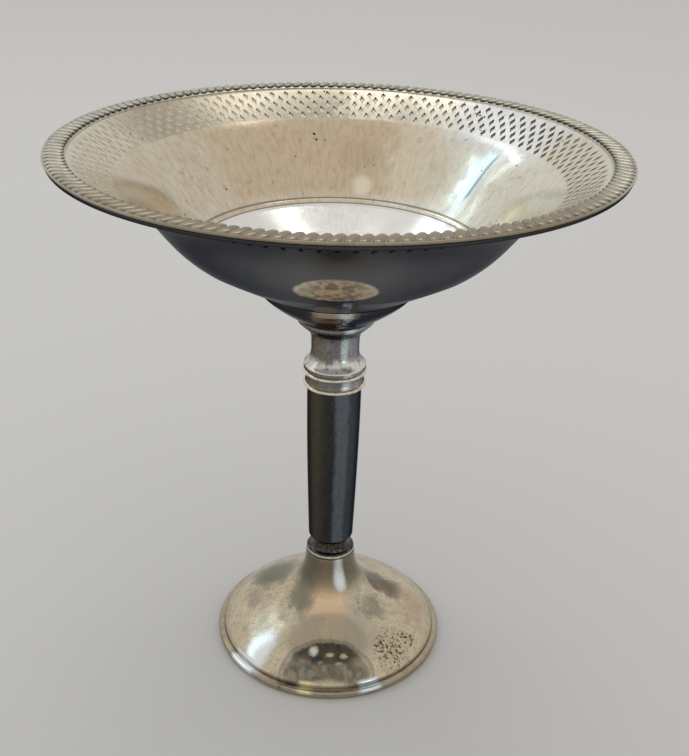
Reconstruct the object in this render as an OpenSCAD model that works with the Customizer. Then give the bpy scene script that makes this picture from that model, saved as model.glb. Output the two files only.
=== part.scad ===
// Footed compote bowl in sheet silver: a wide pierced bowl with a gadroon border, joined by a bell,
// a flared neck, a ringed collar and a tapered column to a weighted round foot.
// Lengths in millimetres, +Z up, the origin at the middle of the base.

/* [Bowl] */
// Width over the border
rim_d = 152; // [140:1:170]
// Height of the brim's underside above the bowl's seat
bowl_h = 38.4; // [35:0.2:42]
// Thickness of the bowl's sheet
bowl_wall = 0.9; // [0.7:0.05:1.2]
// Width of the flat seat under the bowl
seat_d = 39; // [36:0.5:41]
// Width of the ring where the wall meets the well
well_d = 79.6; // [74:0.2:86]
// Height of that ring above the seat
well_rise = 11.5; // [9:0.1:13]
// Width of the double line round the well
well_ledge = 1.8; // [1:0.1:2.4]
// Depth of the step inside the double line
well_step = 0.4; // [0.2:0.05:0.5]
// Radius of the rolled lip at the brim's edge
lip_r = 0.6; // [0.5:0.05:0.8]
// Distance of the lip's edge inside the border's edge
lip_inset = 0.2; // [0.1:0.05:0.4]

/* [Pierced band] */
// Distance across the band, from its lower edge to the border
band_w = 11; // [8:0.25:14]
// Height of that edge above the seat
band_rise = 31.3; // [28:0.1:33]
// Rows of piercings
band_rows = 5; // [2:1:5]
// Piercings in one row
row_count = 96; // [60:1:110]
// Length of one piercing
hole_l = 2.8; // [1.8:0.1:3]
// Width of one piercing
hole_w = 1.7; // [1:0.05:2]
// Lean of the piercings from the radius, in degrees
hole_lean = 10; // [0:1:45]
// Plain metal between the border and the first row
band_margin = 0.6; // [0.5:0.1:1.5]

/* [Gadroon border] */
// Width of the border
border_w = 6; // [4.5:0.1:7]
// Height of the border over the brim
border_h = 1.4; // [1:0.1:2]
// Number of lobes
lobe_count = 160; // [100:2:180]
// Depth of the valleys between the lobes
lobe_depth = 0.5; // [0.2:0.05:0.7]
// Lean of the lobes across the border, in lobes
lobe_lean = 0.9; // [0:0.1:1.5]

/* [Bell and neck] */
// Width of the bell's ledge under the bowl
bell_d = 42.4; // [41.4:0.2:46]
// Height of the bell
bell_h = 8.8; // [7:0.1:11]
// Height of the bell's upright ledge
bell_ledge = 0.7; // [0.4:0.1:1.2]
// Width of the flange where the bell and the neck meet
neck_top_d = 22; // [20:0.5:26]
// Height of the neck
neck_h = 15.8; // [13:0.1:19]
// Height of the narrowest place of the neck
neck_waist_h = 8.4; // [6:0.1:9.5]
// Width at the narrowest place
neck_d = 13.8; // [13:0.1:16]
// Width of the neck's foot
neck_foot_d = 18; // [17.4:0.1:18.4]
// Height of the upright lip of the neck's foot
neck_lip_h = 1.3; // [0.6:0.1:2]
// Width of the bell's flange on the bowl's seat
bell_flange_w = 2; // [1.5:0.1:4]
// Thickness of the sheet of the stem's pieces
stem_wall = 0.9; // [0.7:0.05:1.2]

/* [Collar] */
// Width of the upper ring
upper_ring_d = 18.8; // [18.6:0.1:20.5]
// Width of the lower ring
lower_ring_d = 18.4; // [18.2:0.1:20.5]
// Height of each ring
ring_h = 1.3; // [1:0.1:1.6]
// Height of the sleeve between the rings
sleeve_h = 2.8; // [2:0.1:4]
// Width of the sleeve at its ends
sleeve_end_d = 17.2; // [17:0.1:18]
// Width of the sleeve at its waist
sleeve_d = 16.4; // [15.8:0.1:16.8]

/* [Column] */
// Height of the column
column_h = 51.8; // [40:0.2:65]
// Width at the top of the column
column_top_d = 15.8; // [15.2:0.1:16.4]
// Width at the bottom of the column
column_foot_d = 13.6; // [13:0.1:14.2]
// Width of the bead at the foot of the column
bead_d = 14.8; // [14:0.1:15.6]
// Height of that bead
bead_h = 1.8; // [1.4:0.1:2.4]
// Height of the hollow between the bead and the column
cove_h = 4.4; // [3:0.1:6]
// Width of that hollow at its narrowest
cove_d = 11.4; // [10.4:0.1:12]

/* [Foot] */
// Width of the foot
foot_d = 70.8; // [64:0.2:80]
// Height of the foot
foot_h = 30.2; // [26:0.2:34]
// Width of the foot's flat top
foot_top_d = 15; // [14.8:0.1:16.5]
// Thickness of the foot's sheet
foot_wall = 0.9; // [0.7:0.05:1.2]
// Height of the rolled edge
edge_h = 3; // [2.4:0.1:3.6]
// Width of the rolled edge, from its outside to the foot's skirt
edge_w = 1.9; // [1.5:0.1:2.4]
// Depth of the groove between the rolled edge and the dome
groove_depth = 0.5; // [0.2:0.1:0.8]
// Width of the turned in lip that holds the base disc
edge_lip = 0.9; // [0.6:0.1:1.4]
// Rounding of the rolled edge
edge_round = 0.9; // [0.5:0.1:1.1]

/* [Rod and base] */
// Diameter of the steel rod
rod_d = 5; // [4:0.5:6]
// Depth of the boss's thread
boss_depth = 6.5; // [5:0.1:7.5]
// Diameter of the boss
boss_d = 9; // [8:0.5:10]
// Width of the boss's shoulder
boss_shoulder_w = 2; // [1:0.1:2.5]
// Height of the boss's shoulder
boss_shoulder_h = 2; // [1:0.1:3]
// Room between the rod's end and the bottom of the thread
boss_end_room = 0.5; // [0.2:0.1:1]
// Length of the rod that stands out of the nut
rod_tail = 1.5; // [0.5:0.1:2]
// Width of the nut across its flats
nut_w = 8; // [7.5:0.1:9]
// Height of the nut
nut_h = 4; // [3:0.1:5]
// Diameter of the washer
washer_d = 12; // [11:0.5:15]
// Thickness of the washer
washer_h = 1; // [0.8:0.1:1.6]
// Diameter of the pocket for the nut
pocket_d = 16; // [15.5:0.5:20]
// Depth of the pocket, from the base disc
pocket_h = 8; // [7:0.5:10]
// Thickness of the base disc
disc_h = 0.8; // [0.6:0.1:1.2]
// Thickness of the felt
felt_h = 0.8; // [0.5:0.1:1]
// Height of the felt above the surface that the foot stands on
felt_lift = 0.4; // [0.2:0.1:0.8]

/* [Hidden] */

silver = "#b9b2a4";
silver_dark = "#55504c";
brass = "#b58a45";
steel = "#8d9196";
pitch = "#3a332c";
cement = "#a39d92";
felt = "#2f4a3a";

overrun = 1;              // how far every cut runs past what it cuts
fit_gap = 0.05;           // room round a piece that is soldered, screwed or cemented in
round_fn = 96;
lip_fn = 24;
curve_steps = 12;
arc_steps = 6;

// Heights of the stack, each piece on the one below
disc_z = felt_lift + felt_h;
weight_z = disc_z + disc_h;
bead_z = foot_h;
column_z = bead_z + bead_h + cove_h;
lower_ring_z = column_z + column_h;
sleeve_z = lower_ring_z + ring_h;
upper_ring_z = sleeve_z + sleeve_h;
neck_z = upper_ring_z + ring_h;
bell_z = neck_z + neck_h;
bowl_z = bell_z + bell_h;
brim_z = bowl_z + bowl_h + bowl_wall;

// Radii that several pieces share
rim_r = rim_d / 2;
land_r = rim_r - border_w;
band_r = land_r - band_w;
ledge_r = well_d / 2 - well_ledge;
boss_r = boss_d / 2;
bore_r = rod_d / 2 + fit_gap;
sleeve_end_r = sleeve_end_d / 2;
bell_flange_r = seat_d / 2 - bell_flange_w;
skirt_r = foot_d / 2 - edge_w;
lip_in_r = skirt_r - edge_lip;

// The rod's lower end, with its nut and washer under the top of the pocket
washer_z = weight_z + pocket_h - washer_h;
nut_z = washer_z - nut_h;
rod_z = nut_z - rod_tail;

// Points of a curve that leaves p along one direction and reaches q along another
function along(a) = [cos(a), sin(a)];
function bezier(p, a, q, b, pull_share, end_share = undef) =
    let (span = norm(q - p), end_pull = span * (is_undef(end_share) ? pull_share : end_share),
        p1 = p + span * pull_share * along(a), q1 = q - end_pull * along(b))
    [for (i = [0 : curve_steps]) let (t = i / curve_steps, s = 1 - t)
        s * s * s * p + 3 * s * s * t * p1 + 3 * s * t * t * q1 + t * t * t * q];

// Points of a round corner
function arc(centre, r, from, to) =
    [for (i = [0 : arc_steps]) centre + r * along(from + (to - from) * i / arc_steps)];

// The same points moved sideways, to the left of the way along them
function heading(pts, i) =
    let (d = pts[min(i + 1, len(pts) - 1)] - pts[max(i - 1, 0)]) d / norm(d);
function moved(pts, by) =
    [for (i = [0 : len(pts) - 1]) let (d = heading(pts, i)) pts[i] + by * [-d[1], d[0]]];
function reversed(pts) = [for (i = [len(pts) - 1 : -1 : 0]) pts[i]];
function level_x(pts, z) = lookup(z, [for (p = pts) [p[1], p[0]]]);
function level_z(pts, x) = lookup(x, pts);
function joined(a, b) = concat(a, [for (i = [1 : len(b) - 1]) b[i]]);

// Underside of the bowl, from the seat to the flat land under the border
dish_start_angle = 27;
dish_end_angle = 31;
wall_start_angle = 37;
wall_pull_share = 0.42;
plain_pull_share = 0.33;
seat_point = [seat_d / 2, 0];
well_point = [well_d / 2, well_rise];
band_point = [band_r, band_rise];
land_point = [land_r, bowl_h];
band_angle = atan2(land_point[1] - band_point[1], land_point[0] - band_point[0]);
dish_curve = bezier(seat_point, dish_start_angle, well_point, dish_end_angle, plain_pull_share);
// The band leaves the wall this much steeper than its chord and meets the rim this much flatter
band_bow_angle = 2;
wall_curve = bezier(well_point, wall_start_angle, band_point, band_angle + band_bow_angle, wall_pull_share);

// The pierced band, bowed a little between its ends
band_steps = 8;
band_bow = norm(land_point - band_point) * tan(band_bow_angle) / 4;
band_curve = [for (i = [0 : band_steps]) let (t = i / band_steps)
    band_point + t * (land_point - band_point) + 4 * t * (1 - t) * band_bow * along(band_angle + 90)];

module bowl_section() {
    lip_x = rim_r - lip_inset - lip_r;
    top = bowl_h + bowl_wall;
    land_top = land_point + bowl_wall * [-tan((band_angle - band_bow_angle) / 2), 1];
    over_wall = moved(joined(wall_curve, band_curve), bowl_wall);
    over_dish = moved(dish_curve, bowl_wall);
    well_floor = [for (p = over_dish) if (p[0] < ledge_r - well_step && p[1] > bowl_wall) p];
    polygon(concat([[0, 0]], joined(joined(dish_curve, wall_curve), band_curve), [[lip_x, bowl_h], [lip_x, top]],
        [land_top], [for (p = reversed(over_wall)) if (p[0] < land_top[0]) p],
        [[ledge_r, level_z(over_dish, ledge_r) + well_step]],
        [[ledge_r - well_step, level_z(over_dish, ledge_r - well_step)]], reversed(well_floor),
        [[level_x(over_dish, bowl_wall), bowl_wall], [0, bowl_wall]]));
    translate([lip_x, top - lip_r]) circle(lip_r, $fn = lip_fn);
}

// One piercing, a lozenge drawn in the flat
module lozenge(h) {
    linear_extrude(height = h)
        polygon([[0, -hole_l / 2], [hole_w / 2, 0], [0, hole_l / 2], [-hole_w / 2, 0]]);
}

module piercings() {
    first = band_point + (band_margin + hole_l / 2) * along(band_angle);
    last = land_point - (band_margin + hole_l / 2) * along(band_angle);
    depth = 2 * (bowl_wall + overrun);
    for (row = [0 : band_rows - 1])
        let (p = first + (last - first) * row / (band_rows - 1))
            for (i = [0 : row_count - 1])
                rotate([0, 0, 360 * (i + row / 2) / row_count])
                    translate([p[0], 0, p[1]]) rotate([0, -band_angle, 0]) rotate([0, 0, 90 - hole_lean])
                        translate([0, 0, -depth / 2]) lozenge(depth);
}

module bowl() {
    color(silver) translate([0, 0, bowl_z]) difference() {
        rotate_extrude($fn = round_fn) bowl_section();
        piercings();
    }
}

// Border: a ring of slanted lobes with a flat back, a crest line and a valley line for each lobe.
// The valleys also notch its outer edge.
crest_shares = [[0, 0.3], [0.14, 0.8], [0.4, 1], [0.7, 0.86], [0.93, 0.45], [1, 0]];
notch_share = 0.9;
module gadroon_border() {
    n = 2 * lobe_count;
    k = len(crest_shares) + 1;
    ring_pts = [for (i = [0 : n - 1]) for (s = concat(crest_shares, [[0, 0]]))
        let (turn = 360 * (i - lobe_lean * 2 * s[0]) / n, dip = i % 2 * lobe_depth * s[1],
            r = land_r + border_w * s[0] - (s[0] > notch_share ? dip : 0), z = border_h * s[1] - dip * s[1])
        [r * cos(turn), r * sin(turn), z]];
    faces = [for (i = [0 : n - 1]) for (j = [0 : k - 1])
        let (next = (i + 1) % n, up = (j + 1) % k, a = i * k + j, b = i * k + up)
        each [[a, next * k + j, b], [b, next * k + j, next * k + up]]];
    color(silver) translate([0, 0, brim_z]) polyhedron(ring_pts, faces);
}

// Bell under the bowl: a flange on the seat, an upright ledge, a swelling side and a lower flange
bell_foot_angle = 38;
bell_top_angle = 48;
module bell_cup() {
    side = bezier([neck_top_d / 2, 0], bell_foot_angle, [bell_d / 2, bell_h - bell_ledge], bell_top_angle,
        plain_pull_share);
    inner = moved(side, stem_wall);
    under = bell_h - stem_wall;
    color(silver_dark) translate([0, 0, bell_z]) rotate_extrude($fn = round_fn)
        polygon(concat([[boss_r + fit_gap, 0]], side, [[bell_d / 2, bell_h]],
            [[bell_flange_r, bell_h], [bell_flange_r, under], [level_x(inner, under), under]],
            [for (p = reversed(inner)) if (p[1] > stem_wall && p[1] < under) p],
            [[level_x(inner, stem_wall), stem_wall], [boss_r + fit_gap, stem_wall]]));
}

// Threaded boss: a spigot through both flanges and a shoulder against the bowl
module stem_boss() {
    color(brass) difference() {
        union() {
            translate([0, 0, bell_z - stem_wall])
                cylinder(h = bell_h + stem_wall, d = boss_d, $fn = round_fn);
            translate([0, 0, bell_z + stem_wall])
                cylinder(h = boss_shoulder_h, r = boss_r + boss_shoulder_w, $fn = round_fn);
        }
        translate([0, 0, bell_z - stem_wall - overrun])
            cylinder(h = boss_depth + overrun, r = bore_r, $fn = round_fn);
    }
}

// Neck: a slim sheet spool with a flange at its top and a flared foot with an upright lip
neck_top_angle = 228;
neck_foot_angle = 318;
neck_pull_share = 0.46;
module neck_spool() {
    waist = [neck_d / 2, neck_waist_h];
    under = neck_h - stem_wall;
    upper = bezier([neck_top_d / 2, under], neck_top_angle, waist, 270, neck_pull_share);
    lower = bezier(waist, 270, [neck_foot_d / 2, neck_lip_h], neck_foot_angle, neck_pull_share);
    inner = moved(joined(upper, lower), -stem_wall);
    lip_inner = neck_foot_d / 2 - stem_wall;
    color(silver_dark) translate([0, 0, neck_z]) rotate_extrude($fn = round_fn)
        polygon(concat([[boss_r + fit_gap, neck_h], [neck_top_d / 2, neck_h]], joined(upper, lower),
            [[neck_foot_d / 2, 0], [lip_inner, 0]],
            [for (p = reversed(inner)) if (p[1] < under && p[0] < lip_inner) p],
            [[level_x(inner, under), under], [boss_r + fit_gap, under]]));
}

// A ring with flat faces and a half round outside
module ring(d, h, inner_r) {
    rotate_extrude($fn = round_fn) {
        translate([inner_r, 0]) square([d / 2 - h / 2 - inner_r, h]);
        intersection() {
            translate([d / 2 - h / 2, h / 2]) circle(h / 2, $fn = lip_fn);
            translate([d / 2 - h / 2, 0]) square([h, h]);
        }
    }
}

module collar_upper_ring() {
    color(silver) translate([0, 0, upper_ring_z]) ring(upper_ring_d, ring_h, bore_r);
}

module collar_sleeve() {
    dip = sleeve_end_r - sleeve_d / 2;
    hollow_r = (sleeve_h * sleeve_h / 4 + dip * dip) / (2 * dip);
    spread = asin(sleeve_h / 2 / hollow_r);
    color(silver_dark) translate([0, 0, sleeve_z]) rotate_extrude($fn = round_fn)
        polygon(concat([[bore_r, 0]],
            arc([sleeve_d / 2 + hollow_r, sleeve_h / 2], hollow_r, 180 + spread, 180 - spread),
            [[bore_r, sleeve_h]]));
}

module collar_lower_ring() {
    color(silver) translate([0, 0, lower_ring_z]) ring(lower_ring_d, ring_h, bore_r);
}

// Column: a tube that swells towards its top
function column_r(t_share) = column_foot_d / 2 + (column_top_d - column_foot_d) / 2 * sin(90 * t_share);
function column_side(inset) =
    [for (i = [0 : curve_steps]) [column_r(i / curve_steps) - inset, column_h * i / curve_steps]];

module column_tube() {
    color(silver_dark) translate([0, 0, column_z]) rotate_extrude($fn = round_fn)
        polygon(concat(column_side(0), reversed(column_side(stem_wall))));
}

module column_filler() {
    color(pitch) translate([0, 0, column_z]) rotate_extrude($fn = round_fn)
        polygon(concat([[bore_r, 0]], column_side(stem_wall + fit_gap), [[bore_r, column_h]]));
}

// Base of the column: a bead on the foot and a hollow above it, as wide as what they meet
cove_foot_angle = 165;
cove_top_angle = 25;
module base_bead() {
    foot_x = (bead_d - bead_h) / 2;
    top_x = column_foot_d / 2;
    waist = [cove_d / 2, bead_h + cove_h / 2];
    cove = joined(bezier([foot_x, bead_h], cove_foot_angle, waist, 90, plain_pull_share),
        bezier(waist, 90, [top_x, bead_h + cove_h], cove_top_angle, plain_pull_share));
    color(silver) translate([0, 0, bead_z]) {
        ring(bead_d, bead_h, bore_r);
        rotate_extrude($fn = round_fn)
            polygon(concat([[bore_r, bead_h]], cove, [[bore_r, bead_h + cove_h]]));
    }
}

// Foot: a dome that sweeps up steeply to a small flat top, with an upright skirt inside the rolled edge
foot_rise_angle = 113;
foot_rise_share = 0.28;
foot_top_angle = 91;
foot_top_share = 0.52;
dome_curve = bezier([skirt_r, edge_h], foot_rise_angle, [foot_top_d / 2, foot_h], foot_top_angle,
    foot_rise_share, foot_top_share);
function dome_inside(wall, top) =
    let (all = moved(dome_curve, wall), edge_x = skirt_r - wall)
    concat([[edge_x, weight_z], [edge_x, level_z(all, edge_x)]],
        [for (p = all) if (p[1] < top && p[0] < edge_x) p], [[level_x(all, top), top]]);

module foot_shell() {
    under = foot_h - foot_wall;
    color(silver) rotate_extrude($fn = round_fn)
        polygon(concat([[skirt_r, weight_z]], dome_curve, [[bore_r, foot_h], [bore_r, under]],
            reversed(dome_inside(foot_wall, under))));
}

// Rolled edge: a round sided band outside the skirt, whose lip turns in under the base disc
module foot_edge_band() {
    top = edge_h - groove_depth;
    corner_x = foot_d / 2 - edge_round;
    color(silver) rotate_extrude($fn = round_fn)
        polygon(concat([[lip_in_r, 0]], arc([corner_x, edge_round], edge_round, -90, 0),
            arc([corner_x, top - edge_round], edge_round, 0, 90),
            [[skirt_r + fit_gap, top], [skirt_r + fit_gap, disc_z], [lip_in_r, disc_z]]));
}

// Weight: cement up to the dome, with a bore for the rod and a pocket for the nut
module foot_weight() {
    top = foot_h - foot_wall - fit_gap;
    color(cement) difference() {
        rotate_extrude($fn = round_fn)
            polygon(concat([[0, weight_z]], dome_inside(foot_wall + fit_gap, top), [[0, top]]));
        translate([0, 0, weight_z - overrun]) cylinder(h = foot_h + overrun, r = bore_r, $fn = round_fn);
        translate([0, 0, weight_z - overrun]) cylinder(h = pocket_h + overrun, d = pocket_d, $fn = round_fn);
    }
}

module steel_rod() {
    color(steel) translate([0, 0, rod_z])
        cylinder(h = bell_z - stem_wall + boss_depth - boss_end_room - rod_z, d = rod_d, $fn = round_fn);
}

module rod_washer() {
    color(steel) translate([0, 0, washer_z]) difference() {
        cylinder(h = washer_h, d = washer_d, $fn = round_fn);
        translate([0, 0, -overrun]) cylinder(h = washer_h + 2 * overrun, r = bore_r, $fn = round_fn);
    }
}

module rod_nut() {
    color(steel) translate([0, 0, nut_z]) difference() {
        cylinder(h = nut_h, d = nut_w / cos(30), $fn = 6);
        translate([0, 0, -overrun]) cylinder(h = nut_h + 2 * overrun, r = bore_r, $fn = round_fn);
    }
}

module base_disc() {
    color(steel) translate([0, 0, disc_z]) cylinder(h = disc_h, r = skirt_r, $fn = round_fn);
}

module felt_pad() {
    color(felt) translate([0, 0, felt_lift]) cylinder(h = felt_h, r = lip_in_r - fit_gap, $fn = round_fn);
}

bowl();
gadroon_border();
bell_cup();
stem_boss();
neck_spool();
collar_upper_ring();
collar_sleeve();
collar_lower_ring();
column_tube();
column_filler();
base_bead();
foot_shell();
foot_edge_band();
foot_weight();
steel_rod();
rod_washer();
rod_nut();
base_disc();
felt_pad();
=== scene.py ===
import math
import bpy
from mathutils import Matrix, Quaternion, Vector


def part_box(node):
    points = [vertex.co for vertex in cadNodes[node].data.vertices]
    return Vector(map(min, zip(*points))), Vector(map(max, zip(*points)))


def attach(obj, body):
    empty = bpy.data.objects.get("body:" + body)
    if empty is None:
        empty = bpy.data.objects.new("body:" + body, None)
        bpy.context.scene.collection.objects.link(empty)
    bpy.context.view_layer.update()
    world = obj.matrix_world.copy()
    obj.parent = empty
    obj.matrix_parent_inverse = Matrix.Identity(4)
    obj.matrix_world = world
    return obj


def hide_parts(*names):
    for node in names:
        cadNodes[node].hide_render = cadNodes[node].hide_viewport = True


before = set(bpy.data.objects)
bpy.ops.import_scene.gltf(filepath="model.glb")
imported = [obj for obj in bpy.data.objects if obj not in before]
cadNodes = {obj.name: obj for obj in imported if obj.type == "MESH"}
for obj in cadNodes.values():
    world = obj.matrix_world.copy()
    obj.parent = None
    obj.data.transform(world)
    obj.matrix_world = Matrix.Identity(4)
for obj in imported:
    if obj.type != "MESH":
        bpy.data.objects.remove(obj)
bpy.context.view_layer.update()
unit = 0.001        # one millimetre, all the sizes below are in millimetres
print("frame loaded:", len(cadNodes), "pieces")


# Working with one piece at a time

def dropSelection():
    bpy.ops.object.select_all(action="DESELECT")


def pickOnly(piece):
    dropSelection()
    piece.select_set(True)
    bpy.context.view_layer.objects.active = piece


def openMesh(piece):
    # edit mode, with all of the mesh selected
    pickOnly(piece)
    bpy.ops.object.mode_set(mode="EDIT")
    bpy.ops.mesh.select_all(action="SELECT")


def closeMesh():
    bpy.ops.object.mode_set(mode="OBJECT")


def nameNew(name):
    # the piece that was just added
    piece = bpy.context.object
    piece.name = piece.data.name = name
    return piece


def measure(node):
    # where a piece of the frame stands: its foot, its top and its widest radius
    low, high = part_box(node)
    return low.z / unit, high.z / unit, high.x / unit


def applyModifier(piece, kind, **settings):
    pickOnly(piece)
    bpy.ops.object.modifier_add(type=kind)
    modifier = piece.modifiers[-1]
    for key, value in settings.items():
        setattr(modifier, key, value)
    bpy.ops.object.modifier_apply(modifier=modifier.name)


def softenEdges(piece, width, sharpFrom):
    applyModifier(piece, "BEVEL", width=width * unit, segments=2, limit_method="ANGLE",
                  angle_limit=math.radians(sharpFrom))


def copyRound(piece, count):
    # even copies, all the way round the stem
    bpy.ops.object.empty_add(location=(0, 0, 0), rotation=(0, 0, 2 * math.pi / count))
    guide = bpy.context.object
    applyModifier(piece, "ARRAY", count=count, use_relative_offset=False, use_object_offset=True,
                  offset_object=guide)
    bpy.data.objects.remove(guide)


def turnOpen(degrees, axis):
    # turns the open mesh about the frame's origin
    bpy.ops.transform.rotate(value=math.radians(degrees), orient_axis=axis, center_override=(0, 0, 0))


def joinPieces(name, pieces):
    dropSelection()
    for piece in pieces:
        piece.select_set(True)
    bpy.context.view_layer.objects.active = pieces[0]
    bpy.ops.object.join()
    return nameNew(name)


def weldSeams(piece, reach=0.004):
    openMesh(piece)
    bpy.ops.mesh.remove_doubles(threshold=reach * unit)
    bpy.ops.mesh.normals_make_consistent(inside=False)
    closeMesh()


def smoothSides(piece, sharpFrom=32):
    pickOnly(piece)
    bpy.ops.object.shade_smooth_by_angle(angle=math.radians(sharpFrom))


def placePiece(piece, node):
    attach(piece, "root")
    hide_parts(node)


def finishPiece(piece, material, node, sharpFrom=32):
    piece.data.materials.append(material)
    smoothSides(piece, sharpFrom)
    placePiece(piece, node)


# Sections for the lathe, as (radius, height) points

def heading(degrees):
    return Vector((math.cos(math.radians(degrees)), math.sin(math.radians(degrees))))


def sweepLine(start, startTurn, end, endTurn, startPull=0.33, endPull=None, count=18):
    # a curve that leaves one point along a heading and reaches the other along another
    start, end = Vector(start), Vector(end)
    span = (end - start).length
    leave = start + heading(startTurn) * span * startPull
    arrive = end - heading(endTurn) * span * (startPull if endPull is None else endPull)
    line = []
    for i in range(count + 1):
        t = i / count
        s = 1 - t
        line.append(start * s ** 3 + leave * (3 * s * s * t) + arrive * (3 * s * t * t) + end * t ** 3)
    return [tuple(point) for point in line]


def roundLine(centre, radius, fromTurn, toTurn, count=8):
    turns = [fromTurn + (toTurn - fromTurn) * i / count for i in range(count + 1)]
    return [tuple(Vector(centre) + heading(turn) * radius) for turn in turns]


def moveLine(line, by):
    # the same line moved to the left of the way along it
    moved = []
    for i, point in enumerate(line):
        before, after = Vector(line[max(i - 1, 0)]), Vector(line[min(i + 1, len(line) - 1)])
        way = (after - before).normalized()
        moved.append((point[0] - way.y * by, point[1] + way.x * by))
    return moved


def turnOnLathe(name, section, foot=0, steps=192, closed=True):
    # one point, drawn out along the section over this foot and spun round the stem
    section = [(radius, z + foot) for radius, z in section]
    section += section[:1] if closed else []
    dropSelection()
    startX, startZ = section[0]
    bpy.ops.mesh.primitive_plane_add(size=unit, location=(startX * unit, 0, startZ * unit))
    piece = nameNew(name)
    openMesh(piece)
    bpy.ops.mesh.merge(type="CENTER")
    for (x, z), (nextX, nextZ) in zip(section, section[1:]):
        step = ((nextX - x) * unit, 0, (nextZ - z) * unit)
        bpy.ops.mesh.extrude_region_move(TRANSFORM_OT_translate={"value": step})
    bpy.ops.mesh.select_all(action="SELECT")
    bpy.ops.mesh.spin(steps=steps, angle=2 * math.pi, center=(0, 0, 0), axis=(0, 0, 1))
    closeMesh()
    bpy.ops.object.transform_apply(location=True, rotation=False, scale=False)
    weldSeams(piece)
    return piece


# Shader building

class Wire:
    # one output of a shader node, so that shader maths reads as plain sums
    def __init__(self, kit, socket):
        self.kit = kit
        self.socket = socket

    def __add__(self, other):
        return self.kit.math("ADD", self, other)

    def __radd__(self, other):
        return self.kit.math("ADD", other, self)

    def __sub__(self, other):
        return self.kit.math("SUBTRACT", self, other)

    def __rsub__(self, other):
        return self.kit.math("SUBTRACT", other, self)

    def __mul__(self, other):
        return self.kit.math("MULTIPLY", self, other)

    def __truediv__(self, other):
        return self.kit.math("DIVIDE", self, other)

    def __pow__(self, other):
        return self.kit.math("POWER", self, other)


class Kit:
    # a new material with its Principled shader, the nodes that feed it, and its tones and marks by name
    def __init__(self, name, tones=None, marks=None, **constants):
        self.tones, self.marks = tones, marks
        self.material = bpy.data.materials.new(name)
        self.material.use_nodes = True
        self.tree = self.material.node_tree
        self.shader = next(n for n in self.tree.nodes if n.type == "BSDF_PRINCIPLED")
        for key, value in constants.items():
            self.shader.inputs[key.replace("_", " ")].default_value = value
        metres = self.node("TexCoord", output="Object")
        self.place = self.node("VectorMath", {"operation": "SCALE"}, {0: metres, "Scale": 1 / unit})
        self.x, self.y, self.z = (self.node("SeparateXYZ", values=[self.place], output=i) for i in range(3))
        self.radius = self.math("SQRT", self.x * self.x + self.y * self.y)
        self.turn = self.math("ARCTAN2", self.y, self.x) * (180 / math.pi)      # -90 faces the front

    def node(self, kind, settings=None, values=(), output=0):
        made = self.tree.nodes.new("ShaderNode" + kind)
        for key, value in (settings or {}).items():
            setattr(made, key, value)
        pairs = values.items() if isinstance(values, dict) else enumerate(values)
        for key, value in pairs:
            if isinstance(value, Wire):
                self.tree.links.new(value.socket, made.inputs[key])
            elif value is not None:
                made.inputs[key].default_value = value
        return Wire(self, made.outputs[output])

    def math(self, operation, first, second=None):
        return self.node("Math", {"operation": operation}, [first, second])

    def most(self, first, second):
        return self.math("MAXIMUM", first, second)

    def noise(self, scale, detail=3, roughness=0.5, distortion=0, place=None):
        # scale is the number of blotches over ten millimetres
        values = {"Vector": place or self.place, "Scale": scale / 10, "Detail": detail,
                  "Roughness": roughness, "Distortion": distortion}
        return self.node("TexNoise", values=values)

    def read(self, mark):
        # the numbers themselves, or a name that stands for them
        return self.marks[mark[0]] if isinstance(mark[0], str) else mark

    def step(self, value, *mark):
        # 0 below low, 1 above high, eased between them
        low, high = self.read(mark)
        settings = {"interpolation_type": "SMOOTHSTEP"}
        return self.node("MapRange", settings, {0: value, 1: low, 2: high, 3: 0, 4: 1})

    def band(self, value, *mark):
        # 1 within half of the middle, fading over soft
        middle, half, soft = self.read(mark)
        return 1 - self.step(self.math("ABSOLUTE", value - middle), half, half + soft)

    def spot(self, x, y, *mark):
        # 1 inside an oval with this middle and these half widths, fading at its edge
        middle, half, full, gone = self.read(mark)
        dx, dy = (x - middle[0]) / half[0], (y - middle[1]) / half[1]
        return 1 - self.step(dx * dx + dy * dy, full, gone)

    def film(self, name, place=None):
        # a noise, seen through a step
        grain, limits = self.marks[name]
        return self.step(self.noise(*grain, place=place), *limits)

    def slanted(self, middle, degrees):
        # distances beside and along a line that leans by this angle
        dx, dy = self.x - middle[0], self.y - middle[1]
        way = heading(degrees)
        return dx * way.y - dy * way.x, dx * way.x + dy * way.y

    def mix(self, share, first, second):
        first, second = (tone if isinstance(tone, Wire) else (*tone[:3], 1) for tone in (first, second))
        return self.node("Mix", {"data_type": "RGBA"}, {0: share, 6: first, 7: second}, 2)

    def start(self, mask, first, second):
        # the colour under all the films
        self.colour = self.mix(mask, self.tones[first], self.tones[second])

    def lay(self, name, mask):
        # a tone over the colour, its fourth number is how much it hides of what lies below
        tone = self.tones[name]
        self.colour = self.mix(mask * tone[3] if len(tone) > 3 else mask, self.colour, tone)
        return mask

    def layBands(self, value, *names, within=None):
        # each tone lies in the band of the same name
        for name in names:
            mask = self.band(value, name)
            self.lay(name, mask if within is None else mask * within)

    def finish(self, roughness=None, relief=None, depth=0, metallic=None):
        # relief runs from 0 to 1, and depth is its full depth in millimetres
        bump = relief and self.node("Bump", values={"Distance": depth * unit, "Height": relief})
        wires = {"Base Color": self.colour, "Metallic": metallic, "Roughness": roughness, "Normal": bump}
        for key, wire in wires.items():
            if wire:
                self.tree.links.new(wire.socket, self.shader.inputs[key])
        return self.material


# Silver, bright or tarnished

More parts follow.
